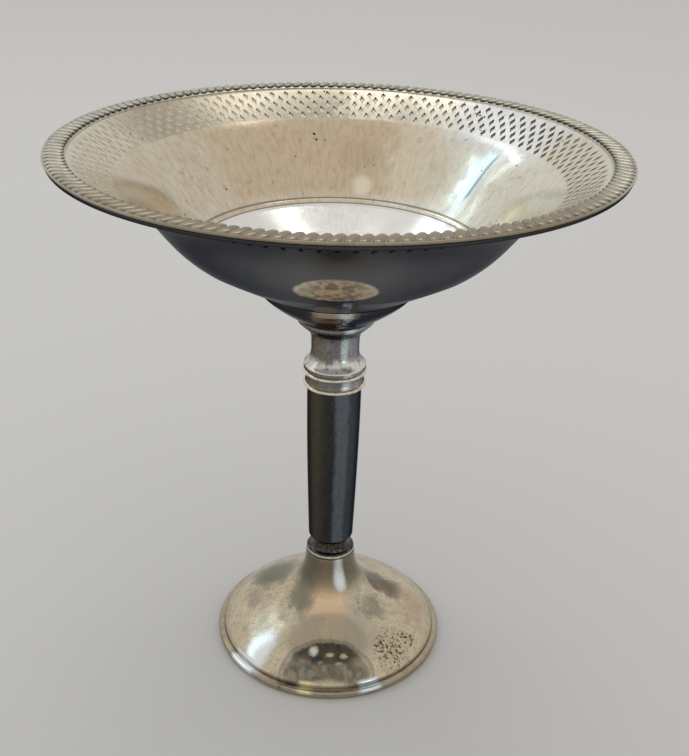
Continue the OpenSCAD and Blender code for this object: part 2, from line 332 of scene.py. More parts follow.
# Each finish has its tones and its marks by name. A step is (low, high), a band is (middle, half, soft) and a
# spot is (middle, half widths, full, gone). A noise is (blotches over ten millimetres, detail, roughness,
# distortion), and a film is a noise with the step that it goes through.
soot = (0.045, 0.040, 0.036)
darkEdge = (0.30, 0.31, 0.34, 1)


def mottle(kit, scale=1.2):
    # broad uneven film, finer clouding inside it
    broad = kit.noise(scale, 4, 0.6)
    fine = kit.noise(scale * 7, 3, 0.65)
    return kit.step(broad * 0.72 + fine * 0.28, 0.34, 0.68)


def scratches(kit):
    # hairlines in three directions, long and thin
    total = None
    for angle, stretch in ((18, (9, 0.5, 9)), (-37, (0.45, 8, 8)), (71, (7, 0.4, 7))):
        turned = kit.node("Mapping", values={
            "Vector": kit.place, "Rotation": (0, 0.1, math.radians(angle)), "Scale": stretch})
        lines = kit.step(kit.noise(3, 2, place=turned), 0.60, 0.74)
        total = lines if total is None else total + lines
    return total


def pits(kit, scale, share):
    # small black specks, more of them where the share is higher
    distance = kit.node("TexVoronoi", values={"Vector": kit.place, "Scale": scale / 10})
    size = kit.step(kit.noise(scale * 0.28, 3, 0.6), 0.52, 0.80) * share
    return kit.step(size * 0.34 - distance, -0.03, 0.03)


insideTones = {
    "film": (0.78, 0.67, 0.51), "thinFilm": (0.84, 0.76, 0.62), "greenish": (0.98, 0.97, 0.84, 0.9),
    "warmReflection": (0.86, 0.70, 0.47, 0.55), "far": (0.76, 0.60, 0.41, 0.8), "band": (0.88, 0.84, 0.70, 0.7),
    "back": (0.44, 0.39, 0.29, 0.8), "shine": (1.0, 0.93, 0.74, 0.8), "lit": (1.0, 1.0, 0.98),
    "matt": (0.52, 0.51, 0.41, 0.3), "upper": (0.42, 0.31, 0.19, 0.2), "strip": (0.93, 1.0, 1.0, 0.85),
    "line": (0.22, 0.27, 0.28, 0.7), "well": (1.0, 0.99, 0.95, 0.95), "clouding": (0.46, 0.38, 0.27),
    "groove": (0.26, 0.20, 0.13, 0.8), "stains": (0.36, 0.27, 0.17, 0.4), "glow": (1.0, 0.91, 0.70),
    "specks": soot,
}
insideMarks = {
    "cloud": (2.5, 3, 0.55), "greenish": (20, 42, 20), "warmReflection": (78, 22, 30), "far": (104, 26, 12),
    "wallFoot": (40.5, 43), "wallTop": (58, 61), "band": (58.6, 59.4), "back": (112, 34, 20),
    "shine": (81, 5, 6), "lit": (38, 12, 12), "litRise": (52, 58), "matt": ((47.5, 49), (7, 8), 0.2, 1.6),
    "upper": ((83, 50), (8, 3.2), 0.3, 1.5), "slant": ((46.5, 30.7), 22.859),
    "strip": ((-2.2, -6), (4.6, 9), 0.1, 1.4), "lineWide": (0, 0.15, 0.7), "lineLong": (-5.6, 4.2, 2.4),
    "well": (38.0, 38.6), "clouding": ((7, 5, 0.7), (0.40, 0.66)), "innerGroove": (38.15, 0.16, 0.14),
    "outerGroove": (40.05, 0.16, 0.14), "stains": ((3.2, 4, 0.62), (0.58, 0.72)),
    "glow": ((81, 43.4), (4.6, 2.6), 0.0, 1.5), "dents": (1.1, 1, 0.4),
}


def makeInsideSilver(tones, marks):
    kit = Kit("silverInside", tones, marks)
    radius, turn = kit.radius, kit.turn
    cloud = kit.noise(*marks["cloud"])
    drift = cloud - 0.5
    # a painted reflection of a warm wall lies tan on the far wall and thins out to the right, where a paler
    # greenish tone takes over
    angle = turn + drift * 16
    kit.start(mottle(kit), "film", "thinFilm")
    right = kit.lay("greenish", kit.band(angle, "greenish"))
    wall = kit.step(radius, "wallFoot") * (1 - kit.step(radius, "wallTop"))
    kit.layBands(angle, "warmReflection", "far", within=wall)
    band = kit.lay("band", kit.step(radius, "band"))
    # in the band, a painted shade at the back and a painted highlight where it shines
    kit.layBands(angle, "back", "shine", within=band)
    # the upper wall on the right is painted white and less metallic, a painted highlight
    lit = kit.lay("lit", kit.band(angle, "lit") * kit.step(radius, "litRise"))
    # duller and painted darker where the wall would mirror the windows too strongly, a painted shade
    matt = kit.lay("matt", kit.spot(turn + drift * 14, radius, "matt"))
    # a painted shade high on the far wall, over a second image of a lamp
    kit.lay("upper", kit.spot(turn, radius, "upper"))
    # a painted white streak up the wall on the right, with a dark line in it, both painted reflections
    beside, along = kit.slanted(*marks["slant"])
    beside = beside + drift * 0.8
    kit.lay("strip", kit.spot(beside, along, "strip"))
    kit.lay("line", kit.band(beside, "lineWide") * kit.band(along, "lineLong"))
    well = kit.lay("well", 1 - kit.step(radius, "well"))
    # fine clouding, drawn out a little up the wall
    spread = kit.node("CombineXYZ", values=[turn * 0.9, radius * 0.45, 0])
    clouding = kit.film("clouding", place=kit.node("Mapping", values={"Vector": spread}))
    kit.lay("clouding", clouding * (0.42 - well * 0.3 - right * 0.16))
    kit.lay("groove", kit.band(radius, "innerGroove") + kit.band(radius, "outerGroove"))
    specks = kit.lay("specks", pits(kit, 5.5, 1 - well * 0.7))
    kit.lay("stains", kit.film("stains") * wall)
    # a painted warm highlight on the far wall, paler, rougher and less metallic
    glow = kit.lay("glow", kit.spot(turn + drift * 6, radius, "glow"))
    grain = scratches(kit)
    rough = 0.10 + cloud * 0.13 + specks * 0.3 + grain * 0.05 + band * 0.10 + matt * 0.15 + glow * 0.14
    relief = kit.noise(*marks["dents"]) * 0.9 + grain * 0.03 - specks * 0.12
    return kit.finish(rough, relief, 0.05, 1 - lit * 0.4 - glow * 0.85)


underTones = {
    "film": (0.165, 0.163, 0.168), "blueFilm": (0.130, 0.138, 0.150), "left": (0.085, 0.080, 0.082, 0.5),
    "middle": (0.24, 0.245, 0.255, 0.6), "patch": (0.72, 0.56, 0.42), "reflectedDark": (0.32, 0.235, 0.17),
    "patchEnds": (0.64, 0.62, 0.48), "outline": (0.80, 0.76, 0.60), "stain": (0.34, 0.25, 0.16, 0.8),
    "flecks": (0.66, 0.74, 0.78), "lip": (0.040, 0.038, 0.040, 0.85), "specks": (*soot, 0.7),
}
underMarks = {
    "left": (-34, -14), "middle": (0, 6, 14), "front": (-24, -20), "ragged": (3, 4, 0.6),
    "lens": ((-0.2, 45.6), (10.2, 3.9)), "patch": (0.75, 1.0), "outline": (0.84, 0.02, 0.22),
    "broken": ((3, 3), (0.3, 0.6)), "ends": (3, 8), "mixed": ((5, 3, 0.55), (0.40, 0.60)),
    "stain": ((-2.6, 28), (3.4, 7), 0.55, 1.25), "flecks": ((4, 2, 0.4), (0.36, 0.66)),
    "fleckLine": ((2.7, 35), (1.4, 12), 0.1, 1.3), "lip": (71, 73), "dents": (1.0, 1, 0.4),
}


def makeUnderSilver(tones, marks):
    kit = Kit("silverUnder", tones, marks, Specular_Tint=darkEdge)
    x, radius = kit.x, kit.radius
    kit.start(mottle(kit, 0.8), "film", "blueFilm")
    kit.lay("left", 1 - kit.step(x, "left"))
    kit.layBands(x, "middle")
    # a lens shaped painted reflection of the foot, with a pale outline
    front = 1 - kit.step(kit.y, "front")
    ragged = (kit.noise(*marks["ragged"]) - 0.5) * 0.3
    (middleX, middleY), (halfX, halfY) = marks["lens"]
    across, down = (x - middleX) / halfX + ragged * 0.1, (radius - middleY) / halfY + ragged * 0.5
    reach = across * across + down * down
    patch = (1 - kit.step(reach, "patch")) * front
    outline = kit.band(reach, "outline") * front * kit.film("broken")
    ends = kit.step(kit.math("ABSOLUTE", x), "ends")
    inner = kit.mix(kit.film("mixed"), tones["patch"], tones["reflectedDark"])
    kit.colour = kit.mix(patch, kit.colour, kit.mix(ends * 0.6, inner, tones["patchEnds"]))
    kit.lay("outline", outline * (0.25 + ends * 0.35))
    # below it a brown stain to the left, and pale flecks in a line to the right, the flecks painted
    # highlights
    stain = kit.lay("stain", kit.spot(x, radius, "stain") * front)
    flecks = kit.lay("flecks", kit.film("flecks") * front * kit.spot(x, radius, "fleckLine") * 0.6)
    # the rolled lip under the border is painted the darkest, a painted shade
    kit.lay("lip", kit.step(radius, "lip"))
    kit.lay("specks", pits(kit, 4.5, 0.6))
    dull = kit.most(flecks * 0.75, kit.most(outline * 0.55, patch * 0.3 + stain * 0.3))
    relief = kit.noise(*marks["dents"]) + scratches(kit) * 0.03
    return kit.finish(0.26 + kit.noise(3, 3) * 0.08 + dull * 0.1, relief, 0.04, 1 - dull)


bellTones = {
    "film": (0.125, 0.128, 0.142), "darkFilm": (0.085, 0.088, 0.100), "brown": (0.40, 0.29, 0.19, 0.85),
    "ledge": (0.030, 0.028, 0.028, 0.85), "line": (0.42, 0.36, 0.27, 0.75), "flecks": (0.74, 0.84, 0.88),
}
bellMarks = {
    "wander": (4, 3, 0.6), "brown": (-98, 7, 8), "bright": (-82, 1, 8), "line": (-90, 12, 8),
    "flecks": ((4, 2, 0.4), (0.34, 0.64)), "ledge": (-1.1, -0.6),
}


def makeBellSilver(tones, marks, top):
    # dark like the bowl above it, brown, with a painted light line and painted highlight flecks, only near
    # the middle of the front
    kit = Kit("silverBell", tones, marks, Specular_Tint=darkEdge)
    film = mottle(kit, 2)
    angle = kit.turn + (kit.noise(*marks["wander"]) - 0.5) * 14
    kit.start(film, "film", "darkFilm")
    kit.layBands(angle, "brown")
    # the top of the bell under the brim is painted near black, a painted shade
    ledge = kit.lay("ledge", kit.step(kit.z - top, "ledge"))
    kit.layBands(angle, "line", within=ledge)
    flecks = kit.lay("flecks", kit.film("flecks") * (kit.band(angle, "bright") * 0.7))
    return kit.finish(0.14 + film * 0.08, kit.noise(5, 2), 0.03, 1 - flecks * 0.6)


borderTones = {
    "film": (0.66, 0.62, 0.51), "greyFilm": (0.52, 0.50, 0.42), "valley": (0.085, 0.075, 0.060),
    "front": (0.33, 0.27, 0.19, 0.8), "stains": (0.22, 0.18, 0.12, 0.5),
}
borderMarks = {
    "film": ((4, 3), (0.3, 0.7)), "valley": (0.30, 0.72), "front": (-90, 40, 30),
    "stains": ((1.5, 4, 0.6), (0.52, 0.75)),
}


def makeBorderSilver(tones, marks):
    # bright on the crests, dark in the valleys with tarnish and a painted shade, browner and more even at the
    # front
    kit = Kit("silverBorder", tones, marks, Metallic=1.0)
    high = kit.node("Attribute", {"attribute_name": "crest"}, output="Fac")
    valley = 1 - kit.step(high + (kit.noise(9, 2) - 0.5) * 0.25, "valley")
    kit.start(kit.film("film"), "film", "greyFilm")
    kit.lay("valley", valley * (0.75 - kit.band(kit.turn, "front") * 0.45))
    kit.layBands(kit.turn, "front")
    kit.lay("stains", kit.film("stains"))
    return kit.finish(0.28 + valley * 0.25, kit.noise(14, 3), 0.03)


ringTones = {"cream": (0.86, 0.76, 0.58), "clean": (0.93, 0.89, 0.80), "worn": (0.34, 0.24, 0.15, 0.7)}


def makeRingSilver(tones):
    kit = Kit("silverRings", tones, Metallic=1.0)
    worn = kit.noise(9, 4, 0.65)
    kit.start(mottle(kit, 3), "cream", "clean")
    kit.lay("worn", kit.step(worn, 0.5, 0.72))
    return kit.finish(0.16 + worn * 0.12, kit.noise(12, 3), 0.02)


columnTones = {
    "dark": (0.052, 0.050, 0.050), "darker": (0.03744, 0.036, 0.036), "left": (0.095, 0.078, 0.058, 0.85),
    "right": (0.15, 0.18, 0.215, 0.3), "line": (0.15, 0.18, 0.215, 0.9), "blots": (*soot, 0.6),
    "flecks": (0.15, 0.18, 0.215, 0.35),
}
columnMarks = {
    "wander": (1.2, 3, 0.6), "film": ((5, 4, 0.65), (0.3, 0.7)), "fine": (16, 4, 0.7), "left": (-150, 20, 30),
    "right": (-38, 20, 12), "line": (-72, 8, 12), "blots": (0.50, 0.66), "flecks": (0.56, 0.70),
}
neckTones = {
    "dark": (0.27, 0.255, 0.26), "darker": (0.1944, 0.1836, 0.1872), "left": (0.23, 0.19, 0.135, 0.85),
    "right": (0.74, 0.85, 0.90, 0.25), "line": (0.74, 0.85, 0.90, 0.9), "blots": (*soot, 0.6),
    "flecks": (0.74, 0.85, 0.90, 0.15), "pale": (1.0, 0.98, 0.90), "stained": (0.70, 0.58, 0.44),
}
neckMarks = {
    **columnMarks, "line": (-67, 2, 11), "patchy": (5, 2, 0.5), "stained": (0.54, 0.66),
    "flareTop": (1.6, 5.4), "flareFoot": (0.9, 1.3),
}


def makeStemSilver(name, tones, marks, wander, flare=None):
    # upright bands round the stem: brown tarnish on the left, a blue sheen and a sheen streak to the right,
    # painted reflections; a bright flare at its foot, clean silver partly painted as a highlight
    kit = Kit(name, tones, marks, Metallic=1.0, Specular_Tint=darkEdge)
    angle = kit.turn + (kit.noise(*marks["wander"]) - 0.5) * wander
    stretched = kit.node("Mapping", values={"Vector": kit.place, "Scale": (1, 1, 0.3)})
    film = kit.film("film", place=stretched)
    fine = kit.noise(*marks["fine"])
    kit.start(film, "dark", "darker")
    kit.layBands(angle, "left", "right", "line")
    kit.lay("blots", kit.step(fine, "blots"))
    kit.lay("flecks", kit.step(1 - fine, "flecks"))
    metallic = None
    if flare is not None:
        patchy = kit.noise(*marks["patchy"])
        height = kit.z - flare
        clean = 1 - kit.step(height + (patchy - 0.5) * 5.5, "flareTop")
        clean = clean * kit.step(height, "flareFoot")
        pale = kit.mix(kit.step(patchy, "stained"), tones["pale"], tones["stained"])
        kit.colour = kit.mix(clean, kit.colour, pale)
        metallic = 1 - clean * 0.45
    return kit.finish(0.18 + film * 0.10, kit.noise(8, 3), 0.03, metallic)


beadTones = {"bright": (0.92, 0.90, 0.84), "dark": (0.050, 0.045, 0.045), "brown": (0.20, 0.17, 0.135)}


def makeBeadSilver(tones, foot):
    # only the roll's lower half is bright, a painted highlight; the rest is painted dark, a painted shade
    # over mottled tarnish
    kit = Kit("silverBead", tones, Metallic=1.0)
    worn = kit.noise(14, 4, 0.7)
    height = kit.z - foot + (worn - 0.5) * 0.7
    dark = kit.mix(kit.step(worn, 0.48, 0.62), tones["dark"], tones["brown"])
    kit.colour = kit.mix(kit.step(height, 0.95, 1.35), tones["bright"], dark)
    return kit.finish(0.16 + worn * 0.12, worn, 0.02)


footTones = {
    "film": (0.82, 0.71, 0.52), "brownFilm": (0.70, 0.58, 0.40), "cloud": (0.62, 0.62, 0.50, 0.5),
    "fine": (0.42, 0.34, 0.23, 0.5), "mottled": (0.36, 0.31, 0.22, 0.4), "milkyFilmAndReflection": (0.84, 0.70, 0.50, 0.5),
    "inner": (0.40, 0.30, 0.18), "reflectedBlue": (0.14, 0.165, 0.165), "reflectedLower": (0.11, 0.10, 0.075),
    "arch": (0.17, 0.16, 0.125, 0.5), "white": (0.96, 1.0, 1.0), "glint": (1.0, 0.97, 0.88),
    "gold": (1.0, 0.86, 0.52), "flankShade": (0.12, 0.105, 0.08, 0.8), "gleam": (0.94, 0.99, 1.0, 0.9),
    "edge": (0.24, 0.20, 0.15, 0.6), "groove": (0.10, 0.08, 0.06, 0.5), "clump": (0.62, 0.44, 0.27, 0.3),
    "specks": (*soot, 0.95),
    "orange": (0.97, 0.66, 0.38, 0.7), "green": (0.10, 0.115, 0.08, 0.8), "plum": (0.36, 0.27, 0.24, 0.5),
    "olive": (0.28, 0.25, 0.18, 0.8), "umber": (0.085, 0.065, 0.045, 0.8), "grey": (0.22, 0.21, 0.17, 0.6),
    "ash": (0.46, 0.44, 0.40, 0.35), "sand": (0.46, 0.44, 0.36, 0.4), "rust": (0.52, 0.36, 0.26, 0.5),
    "tan": (0.52, 0.45, 0.36, 0.4), "edgeLeft": (0.96, 1.0, 1.0, 0.9), "edgeGold": (1.0, 0.88, 0.52, 0.9),
    "edgeRight": (0.84, 0.98, 1.0, 0.9),
}
footMarks = {
    "cloudy": (3, 4, 0.6), "fineGrain": (16, 4, 0.7), "rot": (11, 5, 0.7, 0.4), "dents": (1.6, 2, 0.4),
    "cloud": (0.45, 0.7), "fine": (0.44, 0.64), "mottled": ((5, 3, 0.6), (0.50, 0.66)),
    "milkyFilmAndReflection": ((0, -23), (15, 11), 0.3, 1.4), "lens": ((-0.2, -30.8), (14.2, 8.8)), "lensFoot": (-33.2, -32),
    "inside": (0.70, 1.0), "stained": ((2.6, 3, 0.6), (0.36, 0.64)), "reflectedLower": (-30, -26),
    "patched": (0.42, 0.6), "arch": (1.0, 0.02, 0.12), "slant": ((-21.5, -22.5), 38.303),
    "white": ((0, 0), (4.4, 7.5), 0.1, 1.5), "gold": (-2.5, -1), "flankShade": (8.2, 12),
    "gleam": ((3.2, -8.1), (2.1, 1.7), 0.0, 1.5), "edgeTop": (2.2, 2.9), "edge": (33.3, 33.6),
    "edgeLeft": (-139, 6, 4), "edgeGold": (-101, 1.5, 4), "edgeRight": (-68, 3.5, 4), "rubbed": (32.6, 33.2),
    "rubbedFoot": (1, 1.8), "groove": (33.4, 0.16, 0.18), "grooveTop": (3.2, 3.6),
    "clump": ((19, -21), (6, 6.5), 0.1, 1.5), "smallClump": ((24, -16), (3.2, 2.2), 0.3, 1.5),
    "rotten": (0.64, 0.67), "inClump": (0.02, 0.2), "shoulder": ((-11, -9.5), (6, 6), 0.2, 1.5),
}
footPatches = {
    "orange": ((0, -13), (6.5, 7)), "green": ((-17, 9), (9, 9)), "plum": ((-24, -2), (3, 5)),
    "olive": ((-8, -8), (5, 6)), "umber": ((16, 3), (8, 6)), "grey": ((14, -9.5), (4, 4)),
    "ash": ((8, -14), (4, 6)), "sand": ((12, -20), (4, 7)), "rust": ((27, -2), (4, 8)),
    "tan": ((-20, -11), (3, 3)),
}
footGlints = (
    ((-4.2, -25.2), (1.5, 1.7), 1), ((0.6, -26.4), (1.4, 0.7), 0.8), ((5.0, -26.4), (1.3, 0.8), 0.8),
    ((3.4, -28.6), (1.1, 0.5), 0.5), ((-2.2, -28.4), (0.8, 0.5), 0.4),
)


def makeFootSilver(tones, marks):
    kit = Kit("silverFoot", tones, marks)
    x, y, z, radius = kit.x, kit.y, kit.z, kit.radius
    film = mottle(kit, 1.6)
    cloud, fine = kit.noise(*marks["cloudy"]), kit.noise(*marks["fineGrain"])
    cloudX, filmY = x + (cloud - 0.5) * 5, y + (film - 0.5) * 3
    kit.start(film, "film", "brownFilm")
    kit.lay("cloud", kit.step(cloud, "cloud"))
    kit.lay("fine", kit.step(fine, "fine"))
    kit.lay("mottled", kit.film("mottled"))
    # films of tarnish: orange in front, grey green on the left shoulder, brown on the right one; the olive
    # one darkens the upper left slope, a painted shade
    raggedX, raggedY = cloudX + (fine - 0.5) * 5, filmY + (cloud - 0.5) * 8
    for name, (middle, half) in footPatches.items():
        kit.lay(name, kit.spot(raggedX, raggedY, middle, half, 0.1, 1.5))
    # the front is dulled and lightened under a milky film, partly a painted reflection, and a faint dark arch
    # in it, a painted reflection of the bowl above, holds mixed tones
    milkyFilmAndReflection = kit.lay("milkyFilmAndReflection", kit.spot(x, y, "milkyFilmAndReflection"))
    (middleX, middleY), (halfX, halfY) = marks["lens"]
    across, down = (cloudX * 0.4 + x * 0.6 - middleX) / halfX, (filmY * 0.3 + y * 0.7 - middleY) / halfY
    reach = across ** 2 + down ** 2
    low = kit.step(y, "lensFoot")
    inside = (1 - kit.step(reach, "inside")) * low
    inner = kit.mix(kit.film("stained"), tones["inner"], tones["reflectedBlue"])
    inner = kit.mix((1 - kit.step(y, "reflectedLower")) * 0.6, inner, tones["reflectedLower"])
    kit.colour = kit.mix(inside * (0.70 + kit.step(cloud, "patched") * 0.25), kit.colour, inner)
    kit.lay("arch", kit.band(reach, "arch") * low)
    # a painted white highlight runs down the left front from the slope to the edge
    beside, along = kit.slanted(*marks["slant"])
    kit.lay("white", kit.spot(beside + (cloud - 0.5) * 2.5, along, "white"))
    # painted glints in the dark arch, white to the left and gold to the right, less metallic
    glints = None
    for middle, half, share in footGlints:
        speck = (fine - 0.5) * 2
        glint = kit.spot(x + speck, y + speck, middle, half, 0.0, 1.5) * share
        glints = glint if glints is None else glints + glint
    pale = kit.mix(kit.step(x, "gold"), tones["glint"], tones["gold"])
    kit.colour = kit.mix(glints * 0.95, kit.colour, pale)
    # near the stem the steep slope is painted dark, a painted dark reflection, with a painted highlight, the
    # gleam, in front of the stem
    kit.lay("flankShade", 1 - kit.step(radius, "flankShade"))
    gleam = kit.lay("gleam", kit.spot(x + (fine - 0.5) * 1.2, y, "gleam"))
    # the lower side of the rolled edge is painted darker, a painted shade
    kit.lay("edge", (1 - kit.step(z, "edgeTop")) * kit.step(radius, "edge"))
    # the rolled edge has painted glints in three places
    rubbed = kit.step(radius, "rubbed") * kit.step(z, "rubbedFoot")
    kit.layBands(kit.turn, "edgeLeft", "edgeGold", "edgeRight", within=rubbed)
    kit.lay("groove", kit.band(radius, "groove") * (1 - kit.step(z, "grooveTop")))
    # clumps of black pits on the right
    clump = kit.most(kit.spot(x, y, "clump"), kit.spot(x, y, "smallClump"))
    low, high = marks["rotten"]
    specks = kit.step(kit.noise(*marks["rot"]), low - clump * 0.12, high - clump * 0.12)
    specks = kit.most(specks * kit.step(clump, "inClump"), pits(kit, 9, 0.8))
    kit.lay("clump", clump)
    kit.lay("specks", specks)
    rough = 0.13 + cloud * 0.12 + specks * 0.3 + kit.spot(x, y, "shoulder") * 0.4 + gleam * 0.3
    relief = kit.noise(*marks["dents"]) + scratches(kit) * 0.04 + fine * 0.05 - specks * 0.3
    metallic = 0.95 - film * 0.1 - milkyFilmAndReflection * (1 - inside) * 0.6 - glints * 0.8
    return kit.finish(rough, relief, 0.04, metallic)


cutTones = {
    "bare": (0.66, 0.60, 0.48), "brown": (0.40, 0.35, 0.27), "left": (0.86, 0.80, 0.67),
    "near": (0.035, 0.035, 0.042), "shaded": (0.12, 0.12, 0.13, 0.7),
}
cutMarks = {"saw": (30, 5, 0.6), "left": (-40, -15), "near": (-55, -35), "shaded": (38, 12, 14)}


def makeCutSilver(tones, marks):
    # the sawn sides of the slots: paler on the left, painted dark on the near side, a painted shade
    kit = Kit("silverCut", tones, marks, Metallic=0.5)
    saw = kit.noise(*marks["saw"])
    kit.start(saw, "bare", "brown")
    kit.lay("left", 1 - kit.step(kit.x, "left"))
    kit.lay("near", 1 - kit.step(kit.y, "near"))
    kit.layBands(kit.turn, "shaded")
    return kit.finish(0.40 + kit.noise(30, 3) * 0.12, saw, 0.01)


def makePlain(name, colour, other, metallic, roughness, scale, depth):
    # plain hidden parts: steel, brass, pitch, cement and felt
    kit = Kit(name, Metallic=metallic)
    grain = kit.noise(scale, 5, 0.6)
    kit.colour = kit.mix(kit.step(grain, 0.3, 0.7), colour, other)
    return kit.finish(roughness + grain * 0.12, grain, depth)


insideSilver = makeInsideSilver(insideTones, insideMarks)
underSilver = makeUnderSilver(underTones, underMarks)
cutSilver = makeCutSilver(cutTones, cutMarks)
ringSilver = makeRingSilver(ringTones)
columnSilver = makeStemSilver("silverColumn", columnTones, columnMarks, 20)
neckSilver = makeStemSilver("silverNeck", neckTones, neckMarks, 12, measure("neck_spool")[0])
footSilver = makeFootSilver(footTones, footMarks)
print("finishes made")


# Bowl: one sheet from the seat to the brim, with five staggered rows of slots

bowlForm = {
    "wall": 0.9, "steps": 192, "smoothTo": 30, "touch": 0.01,
    "seat": 19.5, "seatTurn": 27, "wellRadius": 39.8, "wellRise": 11.5, "wellTurn": 31,
    "ridge": (38.1, 38.45, 39.7, 40.1), "ridgeHeight": 0.28, "ridgeGap": 0.2,
    "wallRise": 0.2, "wallTurn": 37, "wallPull": 0.42,
    "bandRadius": 59.0, "bandRise": 31.3, "landRadius": 70.0, "landRise": 38.4,
    "landBend": 0.2, "landStart": 0.3, "landFlat": 2.5,
    "lipRadius": 0.6, "lipInset": 0.2, "lipTurn": 345,
    "rows": 5, "slots": 96, "bandBow": 2, "margin": 0.86,
    "slotLong": 2.8, "slotWide": 1.7, "slotCut": 0.5, "slotReach": 0.6, "zigzag": 0.4, "lean": 10,
}


def selectNear(piece, reach):
    # leaves the piece in edit mode with only the corners near its middle selected
    bpy.ops.mesh.select_mode(type="VERT")
    bpy.ops.mesh.select_all(action="DESELECT")
    closeMesh()
    for vertex in piece.data.vertices:
        vertex.select = vertex.co.length < reach * unit
    bpy.ops.object.mode_set(mode="EDIT")


def makeSlotCell(form, width, height, name):
    # a flat tile with a leaning lozenge cut out of it, corners softened
    dropSelection()
    bpy.ops.mesh.primitive_plane_add(size=1, location=(0, 0, 0))
    tile = nameNew(name)
    openMesh(tile)
    bpy.ops.mesh.subdivide(number_cuts=1)
    bpy.ops.transform.resize(value=(width * unit, height * unit, 1))
    selectNear(tile, form["touch"])
    bpy.ops.mesh.bevel(offset=form["slotCut"] * unit, affect="VERTICES")
    selectNear(tile, form["slotReach"])
    bpy.ops.mesh.delete(type="ONLY_FACE")
    selectNear(tile, form["slotReach"])
    bpy.ops.transform.resize(value=(form["slotWide"], form["slotLong"], 1), center_override=(0, 0, 0))
    turnOpen(form["lean"], "Z")
    closeMesh()
    return tile


def makeBandRow(form, row, low, high):
    # one tile wrapped to its place on the cone and copied round
    width = 2 * math.pi * (low.x + high.x) / 2 / form["slots"]
    height = (high - low).length
    tile = makeSlotCell(form, width, height, "row%d" % row)
    half = math.pi / form["slots"]
    start = half * (row % 2)
    hair = 0.01
    for vertex in tile.data.vertices:
        across = vertex.co.x / (width * unit)
        along = vertex.co.y / (height * unit) + 0.5
        # the seams between two rows run in a zigzag between their slots
        edge = 1 if along > 1 - hair and row < form["rows"] - 1 else -1 if along < hair and row > 0 else 0
        along += edge * form["zigzag"] / height * (1 - 4 * abs(across))
        radius, z = low.lerp(high, along)
        turn = start + across * 2 * half
        vertex.co = Vector((radius * math.cos(turn), radius * math.sin(turn), z)) * unit
    copyRound(tile, form["slots"])
    return tile


def makeBowl(form):
    seatHeight, top, radius = measure("bowl")
    seat, well = (form["seat"], 0), (form["wellRadius"], form["wellRise"])
    band = Vector((form["bandRadius"], form["bandRise"]))
    land = Vector((form["landRadius"], form["landRise"]))
    chord = land - band
    slope = chord.normalized()
    slopeTurn = math.degrees(math.atan2(slope.y, slope.x))
    bow = chord.length * math.tan(math.radians(form["bandBow"])) / 4

    def bandPoint(share):
        # the band swells a little between its ends
        return band + chord * share + Vector((-slope.y, slope.x)) * 4 * share * (1 - share) * bow

    dish = sweepLine(seat, form["seatTurn"], well, form["wellTurn"], count=30)
    inner, innerTop, outerTop, outer = form["ridge"]
    below = [point for point in dish if point[0] < inner - form["ridgeGap"]]
    ridge = []
    for r, lift in ((inner, 0), (innerTop, form["ridgeHeight"]), (outerTop, form["ridgeHeight"])):
        ridge.append((r, well[1] - (well[0] - r) * math.tan(math.radians(form["wellTurn"])) + lift))
    side = sweepLine((outer, form["wellRise"] + form["wallRise"]), form["wallTurn"], tuple(band),
                     slopeTurn + form["bandBow"], form["wallPull"], count=34)
    margin = form["margin"] / chord.length
    bandStart, bandEnd = bandPoint(margin), bandPoint(1 - margin)
    sheet = [(0, 0), (form["seat"] / 2, 0)] + below + ridge + side + [tuple(bandStart)]
    sheet = turnOnLathe("bowlSheet", sheet, seatHeight, form["steps"], closed=False)
    lip = form["lipRadius"]
    lipCentre = radius - form["lipInset"] - lip
    flat = (land.x + form["landStart"], land.x + form["landFlat"], lipCentre)
    brim = [tuple(bandEnd), tuple(land - slope * form["landBend"])] + [(r, land.y) for r in flat]
    brim = turnOnLathe("bowlBrim", brim, seatHeight, form["steps"], closed=False)
    rows = []
    lift = Vector((0, seatHeight))
    for row in range(form["rows"]):
        low = bandPoint(margin + (1 - 2 * margin) * row / form["rows"]) + lift
        high = bandPoint(margin + (1 - 2 * margin) * (row + 1) / form["rows"]) + lift
        rows.append(makeBandRow(form, row, low, high))
    bowl = joinPieces("bowlBody", [sheet, brim, *rows])
    weldSeams(bowl, form["touch"])
    if sum(face.normal.z * face.area for face in bowl.data.polygons) > 0:
        openMesh(bowl)
        bpy.ops.mesh.flip_normals()
        closeMesh()
    for finish in (underSilver, insideSilver, cutSilver):
        bowl.data.materials.append(finish)
    applyModifier(bowl, "SOLIDIFY", thickness=form["wall"] * unit, offset=-1, use_even_offset=True,
                  material_offset=1, material_offset_rim=2)
    roll = roundLine((lipCentre, top - lip), lip, 0, form["lipTurn"], 23)
    roll = turnOnLathe("bowlLip", roll, 0, form["steps"])
    roll.data.materials.append(underSilver)
    bowl = joinPieces("bowlBody", [bowl, roll])
    smoothSides(bowl, form["smoothTo"])
    placePiece(bowl, "bowl")
    return bowl


bowl = makeBowl(bowlForm)
print("bowl made:", len(bowl.data.polygons), "faces")


# Border: slanted lobes on a thin moulding

borderForm = {
    "width": 6.0, "steps": 320, "outerBead": 0.42, "beadShare": 0.9, "smoothTo": 50,
    "moulding": ((0.02, 0.20), (0.12, 0.30), (0.20, 0.60), (0.32, 0.82), (0.50, 0.92), (0.66, 0.84),
                 (0.80, 0.58), (0.87, 0.40)),
    "lobes": 160, "lobeLong": 5.8, "lobeWide": 2.9, "lobeHigh": 0.66, "lobeFoot": 0.56,
    "lobeCut": 0.02, "lean": 24, "taper": 0.86, "blunt": 0.7,
}
crestForm = {"moulding": 0.1, "flat": 0.85, "flatHigh": 0.31, "bead": 0.6, "edge": 0.9, "edgeHigh": 0.5}


